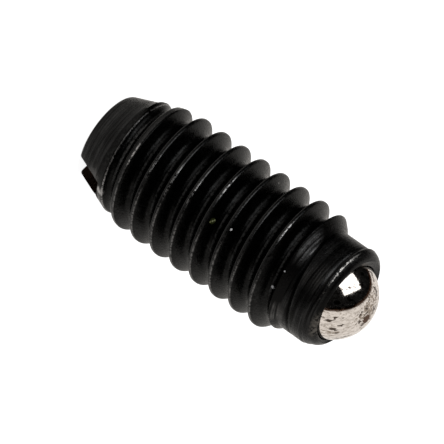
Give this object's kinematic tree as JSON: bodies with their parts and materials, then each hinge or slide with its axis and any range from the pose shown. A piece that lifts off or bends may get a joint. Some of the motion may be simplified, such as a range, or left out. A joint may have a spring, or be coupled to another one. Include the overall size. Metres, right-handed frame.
{
  "type": "spring plunger",
  "caption": "Threaded spring plunger: a slotted M4 sleeve with a sprung steel ball at its nose that locates or indexes a moving part.",
  "frame": {"origin": "centre of the slotted end face, on the floor the plunger stands on", "axes": "+Z along the sleeve's axis from the slotted end to the ball; the screwdriver slot lies along X"},
  "size_m": [0.0038, 0.0038, 0.0093],
  "materials": {
    "sleeve": "black oxide over turned steel, oiled, worn grey on the crests and edges",
    "ball": "polished hardened steel with fine dark specks",
    "spring": "drawn spring wire"
  },
  "bodies": {
    "sleeve": {"body": "sleeve", "spring": "spring"},
    "ball": {"ball": "ball"}
  },
  "joints": [
    {"name": "ball_travel", "type": "slide", "parent": "sleeve", "child": "ball", "axis": [0, 0, -1], "range_m": [0, 0.00074], "stiffness_N_per_m": 5800, "springref_m": -0.0007, "deforming": ["spring"]}
  ]
}
